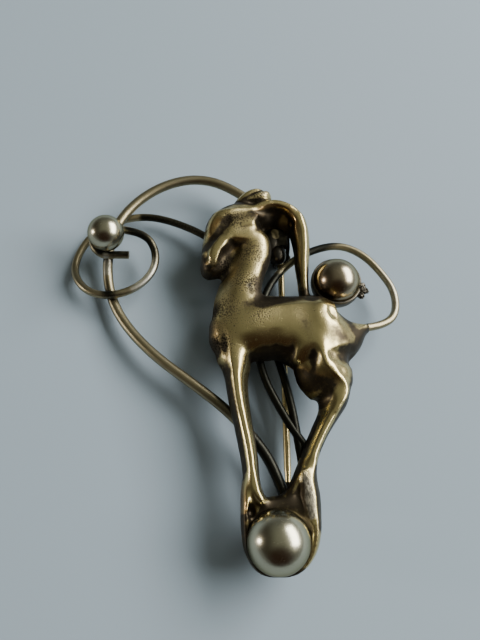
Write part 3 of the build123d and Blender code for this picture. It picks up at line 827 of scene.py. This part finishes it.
def cast_brass():
    """Polished cast brass with pits, tarnished where hands and cloths don't reach, darkened with painted
    shade and tinted with painted warm reflections.
    """
    paint = new_paint("cast_brass")
    tarnish_and_shade = paint.attribute("tarnish_and_shade")
    grain = paint.attribute("grain")
    cloudy = paint.noise(0.35, 3.0)
    mottled = paint.noise(2.2, 4.0, 0.6, 3.0)
    grains = paint.noise(7.0, 2.0, 0.6, 9.0)
    silver = paint.ramp(paint.attribute("silver") + 0.7 * (grains - 0.5), 0.2, 0.9)
    pits = 1 - paint.ramp(paint.cells(4.0) + 0.3 * (mottled - 0.5) - 0.5 * grain, -0.05, 0.1)
    pits = 1 - (1 - pits) * (1 - paint.dots(casting_pits))
    # The darkening here is tarnish and painted shade together.
    dirt_and_shade = paint.ramp(tarnish_and_shade + 0.8 * (mottled - 0.5) + 0.5 * (cloudy - 0.5), 0.1, 1.0)
    gold = paint.mix(cloudy, rgb(0.49, 0.40, 0.18), rgb(0.62, 0.52, 0.26))
    # Coppery tarnish and painted warm reflections tint the gold here.
    copper_and_warm_reflection = paint.mix(paint.attribute("copper_and_warm_reflection") * 0.75, gold, rgb(0.36, 0.20, 0.075))
    scratches = paint.ramp(paint.noise(3.0, 4.0, 0.7, 6.0, (1, 0.5, 1)), 0.4, 0.62)
    scratched = paint.mix(scratches, rgb(0.10, 0.09, 0.07), rgb(0.31, 0.285, 0.22))
    solder = paint.mix(silver, copper_and_warm_reflection, scratched)
    olive = paint.mix(dirt_and_shade, solder, rgb(0.05, 0.04, 0.027))
    colour = paint.mix(pits * 0.85, olive, rgb(0.02, 0.017, 0.012))
    height = grains * 0.45 * (grain + 2.5 * silver + 0.15) - pits * 0.25 + mottled * 0.3
    roughness = 0.24 + 0.2 * dirt_and_shade + 0.14 * grain + 0.3 * pits + 0.2 * silver
    return paint.metal(colour, roughness, height, 0.04)


def wire_bronze():
    """Drawn wire, dulled brown, blackened by soot and by painted shade behind the casting, and worn bright in
    a few places.
    """
    paint = new_paint("wire_bronze")
    shade_and_soot = paint.attribute("shade_and_soot")
    worn = paint.attribute("worn")
    cloudy = paint.noise(0.5, 4.0, 0.6)
    fine = paint.noise(5.0, 3.0, 0.6, 5.0)
    brown = paint.mix(cloudy, rgb(0.235, 0.20, 0.12), rgb(0.35, 0.305, 0.19))
    # Painted shade: the wire goes near black where it runs behind the casting.
    dark = paint.mix(paint.ramp(shade_and_soot + 0.5 * (fine - 0.5), 0.1, 1.0), brown, rgb(0.022, 0.022, 0.018))
    colour = paint.mix(paint.ramp(worn + 0.9 * (fine - 0.5), 0.2, 1.0), dark, rgb(0.52, 0.50, 0.42))
    return paint.metal(colour, 0.3 + 0.16 * fine, fine + cloudy, 0.02)


def pale_brass():
    """A pale ball polished to a soft shine, with fine scratches and a few dull specks."""
    paint = new_paint("pale_brass")
    cloudy = paint.noise(0.4, 3.0)
    scratches = paint.noise(2.0, 4.0, 0.7, 2.0, (1, 5, 1))
    specks = paint.ramp(paint.noise(3.5, 4.0, 0.7, 8.0), 0.62, 0.74)
    pale = paint.mix(cloudy, rgb(0.48, 0.46, 0.33), rgb(0.57, 0.56, 0.43))
    # Browner where the ball's tarnish and painted brown reflection are stored.
    brown = paint.mix(paint.attribute("tarnish_and_shade"), pale, rgb(0.27, 0.19, 0.12))
    colour = paint.mix(specks * 0.5, brown, rgb(0.14, 0.11, 0.08))
    roughness = 0.17 + 0.12 * scratches + 0.15 * specks
    return paint.metal(colour, roughness, scratches, 0.004, Specular_Tint=rgb(0.42, 0.40, 0.34))


def dark_cup():
    """Tarnished grey metal, paler in cloudy patches."""
    paint = new_paint("dark_cup")
    cloudy = paint.noise(0.9, 4.0, 0.6)
    fine = paint.noise(5.0, 3.0, 0.6, 4.0)
    colour = paint.mix(cloudy, rgb(0.05, 0.046, 0.04), rgb(0.2, 0.18, 0.14))
    return paint.metal(colour, 0.32 + 0.2 * fine, fine, 0.03)


def finding_metal():
    """Dark hinge and catch, with painted highlights as bright spots on the hinge solder."""
    paint = new_paint("finding_metal")
    cloudy = paint.noise(0.8, 4.0, 0.6, 7.0)
    fine = paint.noise(5.0, 3.0, 0.6, 1.0)
    colour = paint.mix(paint.ramp(cloudy, 0.5, 0.75), rgb(0.05, 0.045, 0.036), rgb(0.16, 0.14, 0.10))
    # Painted highlights: small bright spots on the hinge solder.
    colour = paint.mix(paint.dots(painted_hinge_highlights), colour, rgb(0.60, 0.50, 0.30))
    return paint.metal(colour, 0.3 + 0.15 * fine, fine, 0.02)


def pin_brass():
    """Yellow pin wire with fine lines along it."""
    paint = new_paint("pin_brass")
    lines = paint.noise(4.0, 3.0, 0.6, 6.0, (1, 0.05, 1))
    cloudy = paint.noise(0.4, 3.0)
    colour = paint.mix(cloudy, rgb(0.50, 0.39, 0.18), rgb(0.66, 0.54, 0.28))
    return paint.metal(colour, 0.22 + 0.12 * lines, lines, 0.01)


def store(piece, name, values):
    """Keeps a value from 0 to 1 for each point, for the finishes to read."""
    layer = piece.data.attributes.new(name, "FLOAT", "POINT")
    layer.data.foreach_set("value", np.clip(values, 0, 1).astype(np.float32))


def age_figure(piece):
    """Where the casting is tarnished, darkened with painted shade and lifted with painted light, and where
    its skin is rough, from its own shape and from strokes.
    """
    points = read(piece, "co")
    normals = read(piece, "normal")
    softened = smoothed(piece, points, turns=30, strength=1.0)
    hollow = ((softened - points) * normals).sum(axis=1) / mm
    level = (points[:, 2] - back_level) / mm
    steep = 1 - np.clip(normals[:, 2], 0, 1)
    low = np.clip(1 - level / low_height, 0, 1)
    under = np.clip(-normals[:, 1] - under_from, 0, 1)
    # Painted shade darkens steep, low and downward-facing skin and the skin next to the balls; hollows add
    # tarnish.
    tarnish_and_shade = steep_shade_and_tarnish * steep**1.2 + low_shade_and_tarnish * low + under_shade * under
    tarnish_and_shade += np.clip(hollow_tarnish * hollow, -0.4, 0.6)
    for centre, radius in ((base_centre, base_radius), (tail_centre, tail_radius + cup_wall)):
        gap = np.linalg.norm(points - np.array(centre), axis=1) - radius
        tarnish_and_shade += ball_shade_and_tarnish * np.clip(1 - gap / ball_reach, 0, 1)
    # Strokes add tarnish and painted shade, and rubbed strokes paint light back.
    tarnish_and_shade += stain_and_shade_gain * summed(points, stained_and_shaded) - rub_and_light_gain * summed(points, rubbed_and_lit)
    store(piece, "tarnish_and_shade", tarnish_and_shade)
    store(piece, "copper_and_warm_reflection", tint_gain * summed(points, coppery_and_reflected))
    store(piece, "silver", tint_gain * summed(points, silvered))
    grain = np.zeros(len(points))
    for across, along, reach in rough_places:
        distance = np.linalg.norm(flat_places(points) - np.array((across, along)), axis=1)
        grain = np.maximum(grain, 1.2 - distance / reach)
    store(piece, "grain", grain)


def age_wire(piece):
    """Where a wire is blackened, by soot and by painted shade behind the casting, and where it is worn
    bright.
    """
    points = read(piece, "co")
    store(piece, "shade_and_soot", wire_gain * summed(points, wire_shade_and_soot))
    store(piece, "worn", wire_gain * summed(points, wire_worn))


age_figure(figure)

# Wires: the corners of their routes, in millimetres across and along from the foot and up from the floor

main_route = [
    (-3.0, 51.6, 3.88),
    (-8.3, 55.8, 3.88),
    (-13.8, 57.4, 3.88),
    (-19.3, 55.9, 3.88),
    (-24.1, 52.3, 3.5),
    (-27.0, 47.5, 3.25),
    (-27.8, 42.0, 2.35),
    (-27.0, 36.5, 1.67),
    (-24.3, 31.3, 2.25),
    (-19.5, 26.0, 3.18),
    (-13.3, 21.4, 3.72),
    (-8.4, 17.5, 3.88),
    (-3.7, 12.3, 3.88),
    (-1.7, 8.1, 3.88),
    (-0.9, 5.7, 3.88),
]
scroll_route = [
    (1.7, 8.7, 4.05),
    (0.9, 15.1, 4.05),
    (-0.1, 21.0, 4.05),
    (-1.8, 27.6, 3.4),
    (-4.5, 34.6, 2.7),
    (-6.3, 40.3, 2.7),
    (-9.5, 45.0, 2.7),
    (-14.2, 48.4, 2.3),
    (-20.6, 50.9, 1.9),
    (-25.6, 50.4, 1.9),
    (-29.9, 48.4, 1.25),
    (-32.3, 45.4, 0.62),
    (-33.2, 41.5, 0.62),
    (-31.9, 38.3, 1.9),
    (-29.6, 36.2, 2.6),
    (-26.2, 35.6, 3.24),
    (-22.4, 37.2, 3.24),
    (-20.1, 40.2, 3.65),
    (-20.1, 43.4, 4.06),
    (-21.9, 45.9, 4.6),
]
tail_route = [
    (12.1, 30.6, 4.9),
    (14.6, 31.2, 4.4),
    (17.0, 33.2, 4.05),
    (17.2, 37.0, 4.05),
    (15.5, 40.3, 4.05),
    (12.6, 43.8, 4.05),
    (8.6, 45.4, 4.05),
    (3.4, 43.7, 4.05),
    (-1.1, 39.9, 4.05),
    (-3.5, 35.4, 4.05),
    (-4.7, 29.4, 4.05),
    (-3.8, 23.2, 4.05),
    (-1.6, 18.6, 4.05),
    (0.6, 14.8, 4.05),
    (2.4, 12.2, 4.3),
]
# Where the wires are black, by soot and by painted shade behind the casting, and where worn bright: across,
# along, reach and how much
wire_shade_and_soot = {
    "behind_neck": [(-9.4, 45.2, 1.4, 0.3), (-7, 41, 2.6, 1.2), (-3, 36, 3.5, 1.2), (-1, 38, 2.5, 1.1)],
    "behind_body": [(-4, 30, 6, 1.2), (3, 30, 6, 1.2)],
    "behind_legs": [(-3, 24, 4.5, 1.2), (0, 15, 4.5, 1.2), (-0.5, 8, 4.5, 1.2)],
    "thin_arch": [
        (-22.6, 50.4, 1.2, 0.55), (-20.4, 50.2, 2, 0.49), (-14, 48.2, 2.2, 0.45), (-10, 45.3, 2.2, 0.5),
    ],
    "loop": [(-24.4, 46.4, 1.4, 0.55), (-22, 45.2, 2, 0.52), (-20.4, 43, 2, 0.5), (-20.3, 41, 1.4, 0.4)],
    "main_foot": [(-6.8, 15.8, 1.6, 0.3), (-4.4, 13, 1.8, 0.7), (-2.4, 9.6, 2, 0.8), (-1, 6.4, 2, 0.8)],
    "crossing": [(-12.6, 20.8, 1.4, 0.2), (-8.4, 17.2, 1.6, 0.35)],
    "loop_foot": [(-21.6, 38, 1, 0.3), (-24.6, 35.8, 1.2, 0.2), (-27.6, 35.9, 1.2, 0.25)],
    "ring": [(-29.6, 43.4, 0.9, 0.5), (-28.6, 42.2, 0.9, 0.65), (-26.5, 42, 0.9, 0.5), (-24.4, 42, 0.8, 0.6)],
    "stem": [(-27.5, 38.4, 1.2, 0.3), (-27.3, 36.9, 1.4, 0.4), (-26.4, 34.8, 1.4, 0.2)],
    "arch_end": [(-6, 54, 1.2, 0.3), (-3, 51.6, 1.6, 0.7)],
    "tail_top": [(8.6, 45.6, 1.4, 0.4), (4.2, 44.2, 1.8, 0.9)],
}
wire_worn = {
    "loop": [
        (-20.4, 41.4, 1.2, 0.3), (-20.6, 39.6, 1.3, 0.6), (-21.8, 37.8, 1.3, 0.7), (-23.2, 36.8, 1.2, 0.4),
    ],
    "stem": [(-27.6, 41.6, 0.9, 0.5), (-27.6, 39.8, 0.9, 0.5)],
    "tail": [(16.6, 33.4, 1.4, 0.25), (17, 36.8, 1.4, 0.35), (14.8, 41.2, 1.4, 0.2)],
    "arch": [(-20, 55.9, 1.4, 0.15), (-13.8, 57.2, 1.4, 0.15)],
}
wire_gain = 1.8
# The ring's corners in degrees, and its sizes in millimetres
ring_step = 60
ring_corners = range(75, 256, ring_step)
ring_radius = 2.25
ring_level = 4.6
ring_tail = 3.4


def ring_route():
    """The small ring under the left ball and its cut end."""
    centre = (scroll_centre - foot) / mm
    reach = ring_radius / math.cos(math.radians(ring_step / 2))
    rows = []
    for degrees in ring_corners:
        turn = math.radians(degrees)
        rows.append((centre.x + reach * math.cos(turn), centre.y + reach * math.sin(turn), ring_level))
    rows.append((centre.x + 0.4 * ring_tail, centre.y - ring_radius, ring_level))
    rows.append((centre.x + ring_tail, centre.y - ring_radius, ring_level))
    return rows


def wire_piece(name, route, diameter):
    """A round wire on a smooth line near the corners of its route."""
    curve = bpy.data.curves.new(name, "CURVE")
    curve.dimensions = "3D"
    line = curve.splines.new("NURBS")
    line.points.add(len(route) - 1)
    for point, place in zip(line.points, route):
        point.co = (*spot(*place), 1)
    line.order_u = 3
    line.use_endpoint_u = True
    line.resolution_u = 14
    curve.bevel_depth = diameter / 2
    curve.bevel_resolution = 7
    curve.use_fill_caps = True
    piece = new_object(name, curve)
    select_only(piece)
    bpy.ops.object.convert(target="MESH")
    settle(piece)
    age_wire(piece)
    return piece


main_wire = wire_piece("bent_main_wire", main_route, thick_wire)
scroll_wire = wire_piece("bent_scroll_wire", scroll_route + ring_route(), thin_wire)
tail_wire = wire_piece("bent_tail_wire", tail_route, thin_wire)


# Balls and cups

bowl_steps = 16


def ball_piece(name, centre, radius, tarnish_and_reflection):
    """A ball with tarnish and a painted brown reflection towards its lower left, by so much at the most."""
    bpy.ops.mesh.primitive_uv_sphere_add(segments=96, ring_count=64, radius=radius, location=centre)
    piece = bpy.context.object
    piece.name = name
    settle(piece)
    # Painted reflection: the side towards the lower left is browner and darker.
    lower_left = np.array((-0.65, -0.65, 0.4))
    store(piece, "tarnish_and_shade", tarnish_and_reflection * np.clip(0.4 + 0.6 * read(piece, "normal") @ lower_left, 0, 1))
    return piece


def spun(name, centre, profile):
    """A round piece from its profile: radius and height in metres from the centre."""
    bpy.ops.object.select_all(action="DESELECT")
    points = [centre + Vector((radius, 0, level)) for radius, level in profile]
    piece = mesh_piece(name, points, [])
    mesh = piece.data
    mesh.edges.add(len(points) - 1)
    mesh.edges.foreach_set("vertices", [n for k in range(len(points) - 1) for n in (k, k + 1)])
    mesh.update()
    select_only(piece)
    bpy.ops.object.mode_set(mode="EDIT")
    bpy.ops.mesh.select_all(action="SELECT")
    bpy.ops.mesh.spin(steps=72, angle=2 * math.pi, center=centre, axis=(0, 0, 1))
    bpy.ops.mesh.select_all(action="SELECT")
    bpy.ops.mesh.remove_doubles(threshold=seam_gap)
    bpy.ops.mesh.normals_make_consistent(inside=False)
    bpy.ops.object.mode_set(mode="OBJECT")
    settle(piece)
    return piece


def bowl_profile(inner, outer, rim, lip):
    """From the middle of the bottom outside, up to a rim as thick as the lip, and back down inside."""
    shares = [step / bowl_steps for step in range(bowl_steps + 1)]
    walls = [(outer - (outer - inner - lip) * share**3, share) for share in shares]
    walls += [(inner, share) for share in reversed(shares)]
    profile = []
    for radius, share in walls:
        angle = -math.pi / 2 + (math.asin(rim / radius) + math.pi / 2) * share
        profile.append((radius * math.cos(angle), radius * math.sin(angle)))
    return profile


base_ball = ball_piece("polished_base_ball", base_centre, base_radius, 0.25)
tail_ball = ball_piece("polished_tail_ball", tail_centre, tail_radius, 0.9)
scroll_ball = ball_piece("polished_scroll_ball", scroll_centre, scroll_radius, 0.3)
base_bowl = bowl_profile(base_radius + solder_gap, base_radius + base_cup_wall, rim=-1.4 * mm, lip=0.1 * mm)
tail_bowl = bowl_profile(tail_radius + solder_gap, tail_radius + cup_wall, rim=0.2 * mm, lip=0.3 * mm)
base_cup = spun("base_cup", base_centre, base_bowl)
tail_cup = spun("tail_ball_cup", tail_centre, tail_bowl)
# The base cup is darkened evenly all over.
store(base_cup, "tarnish_and_shade", np.full(len(base_cup.data.vertices), 0.75))


# Findings on the back


def copy_of(node):
    """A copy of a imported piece, with its loose triangles joined."""
    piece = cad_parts[node].copy()
    piece.data = piece.data.copy()
    piece.parent = None
    piece.matrix_world = Matrix.Identity(4)
    bpy.context.scene.collection.objects.link(piece)
    select_only(piece)
    bpy.ops.object.mode_set(mode="EDIT")
    bpy.ops.mesh.select_all(action="SELECT")
    bpy.ops.mesh.remove_doubles(threshold=loose_gap)
    bpy.ops.object.mode_set(mode="OBJECT")
    return piece


def wear(piece, voxel, turns):
    """Fuses a piece into one skin and wears its edges round."""
    apply_modifier(piece, "REMESH", mode="VOXEL", voxel_size=voxel)
    apply_modifier(piece, "SMOOTH", factor=0.5, iterations=turns)
    settle(piece)
    return piece


def softened_copy(name, node):
    """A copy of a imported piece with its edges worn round."""
    piece = copy_of(node)
    piece.name = name
    return wear(piece, voxel=0.06 * mm, turns=5)


def lump(name, place, size, roughness=0.0):
    """A lump of solder: a ball of a size in millimetres along each axis, a little uneven."""
    bpy.ops.mesh.primitive_ico_sphere_add(subdivisions=4, radius=1.0, location=spot(*place))
    piece = bpy.context.object
    piece.name = name
    piece.scale = Vector(size) * mm / 2
    settle(piece)
    chance = np.random.default_rng(len(name))
    points = read(piece, "co")
    uneven = smoothed(piece, chance.normal(0, roughness * mm, points.shape), 2)
    write_points(piece, points + uneven)
    return piece


def soldered_hinge():
    """The hinge leaf and its ears, with the solder that holds the leaf to the back."""
    solder = [
        lump("leaf_solder", (-1.75, 45.7, 3.5), (3.6, 6.8, 2.6)),
        lump("ear_solder", (-0.9, 43.2, 3.9), (2.6, 3.4, 2.2)),
    ]
    return wear(join("soldered_hinge", [copy_of("pin_hinge")] + solder), voxel=0.08 * mm, turns=6)


nub = [
    lump("nub_top", (11.55, 36.9, 6.0), (1.0, 1.1, 0.9), 0.25),
    lump("nub_middle", (11.8, 36.2, 6.0), (1.3, 1.0, 0.8), 0.25),
    lump("nub_foot", (11.35, 35.6, 5.8), (0.9, 1.1, 0.9), 0.25),
]
tail_cup = join("tail_ball_cup", [tail_cup] + nub)

brass = cast_brass()
bronze = wire_bronze()
pale = pale_brass()
cup_metal = dark_cup()
finding = finding_metal()
yellow = pin_brass()

finish(figure, brass, "figure", "gazelle")
finish(base_cup, brass, "figure", "gazelle")
finish(main_wire, bronze, "wire", "main_wire")
finish(scroll_wire, bronze, "wire", "scroll_wire")
finish(tail_wire, bronze, "wire", "tail_wire")
finish(base_ball, pale, "ball", "base_ball")
finish(tail_ball, pale, "ball", "tail_ball")
finish(scroll_ball, pale, "ball", "scroll_ball")
finish(tail_cup, cup_metal, "cup", "tail_cup")
finish(soldered_hinge(), finding, "finding", "pin_hinge")
finish(softened_copy("ring_collar", "scroll_collar"), cup_metal, "cup", "scroll_collar")
finish(softened_copy("riveted_end", "hinge_rivet"), finding, "finding", "hinge_rivet")
finish(softened_copy("soldered_catch", "pin_catch"), finding, "finding", "pin_catch")
finish(softened_copy("drawn_pin", "pin_stem"), yellow, "pin", "pin_stem", body="pin")


# Floor, lights and camera

window_way = Vector((0.72, 0.26, 0.60)).normalized()
window_side = Vector((0, 0, 1)).cross(window_way).normalized()
left_way = (-0.97, 0.0, 0.2)
viewer_way = (0.0, -0.84, 0.54)
floor_size = 0.9


def make_floor():
    bpy.ops.mesh.primitive_plane_add(size=floor_size)
    floor = bpy.context.object
    floor.name = "floor"
    paint = new_paint("pale_floor")
    matt = paint.field(0, "BsdfPrincipled", Base_Color=rgb(0.305, 0.38, 0.445), Roughness=0.9)
    paint.node("OutputMaterial", Surface=matt)
    floor.data.materials.append(paint.owner)


def soft_light(name, direction, distance, size, power, colour):
    """A soft box that faces the brooch from a direction."""
    light = bpy.data.lights.new(name, "AREA")
    light.shape = "RECTANGLE"
    light.size, light.size_y = size
    light.energy = power
    light.color = colour
    lamp = new_object(name, light)
    way = Vector(direction).normalized()
    lamp.location = way * distance
    lamp.rotation_euler = way.to_track_quat("Z", "Y").to_euler()


def make_world():
    """A grey room: a tall window to the right, dark to the left and towards the viewer, a pale backdrop."""
    bpy.context.scene.world = bpy.data.worlds.new("room")
    paint = Paint(bpy.context.scene.world)
    way = paint.field("Generated", "TexCoord")
    up = paint.facing(way, (0, 0, 1))
    left = paint.facing(way, (-1, 0, 0))
    room = paint.mix(paint.ramp(up, 0.25, 1.0), rgb(0.12, 0.13, 0.12), rgb(0.23, 0.24, 0.195))
    room = paint.mix(paint.ramp(left, 0.15, 0.8), room, rgb(0.052, 0.049, 0.036))
    room = paint.mix(paint.ramp(up, 0.0, 0.35), rgb(0.24, 0.26, 0.27), room)
    shade = paint.ramp(paint.facing(way, viewer_way), 0.62, 0.93)
    room = paint.mix(shade, room, rgb(0.034, 0.018, 0.011))
    beside = paint.facing(way, window_side)
    above = paint.facing(way, window_way.cross(window_side))
    front = paint.ramp(paint.facing(way, window_way), 0.05, 0.4)
    spread = beside * beside * 1.7 + above * above * 7.0
    glow = (1 - paint.ramp(spread, 0.15, 1.0)) * front
    lit = paint.mix(glow, room, rgb(1.7, 1.7, 1.6))
    backdrop = rgb(0.50, 0.53, 0.55)
    colour = paint.mix(paint.field("Is Camera Ray", "LightPath"), lit, backdrop)
    paint.node("OutputWorld", Surface=paint.field(0, "Background", Color=colour, Strength=1.0))


def make_camera():
    """The photograph's view: from about 90 mm above the floor, 66 degrees steep."""
    position = Vector((-4.62, -33.11, 90.0)) * mm
    forward = Vector((0.0595, 0.4053, -0.9122)).normalized()
    right = forward.cross(Vector((-0.0229, 0.9142, 0.4047))).normalized()
    upward = right.cross(forward)
    lens = bpy.data.cameras.new("camera")
    lens.sensor_width = 36.0
    lens.lens = 35.325
    lens.clip_start = 1 * mm
    lens.clip_end = 10.0
    camera = new_object("camera", lens)
    turned = Matrix((right, upward, -forward)).transposed().to_4x4()
    camera.matrix_world = Matrix.Translation(position) @ turned
    bpy.context.scene.camera = camera


make_floor()
make_world()
soft_light("window", window_way, distance=0.6, size=(0.66, 0.30), power=7.5, colour=(1.0, 0.99, 0.95))
soft_light("side", left_way, distance=0.5, size=(0.06, 0.08), power=0.6, colour=(1.0, 0.93, 0.85))
make_camera()
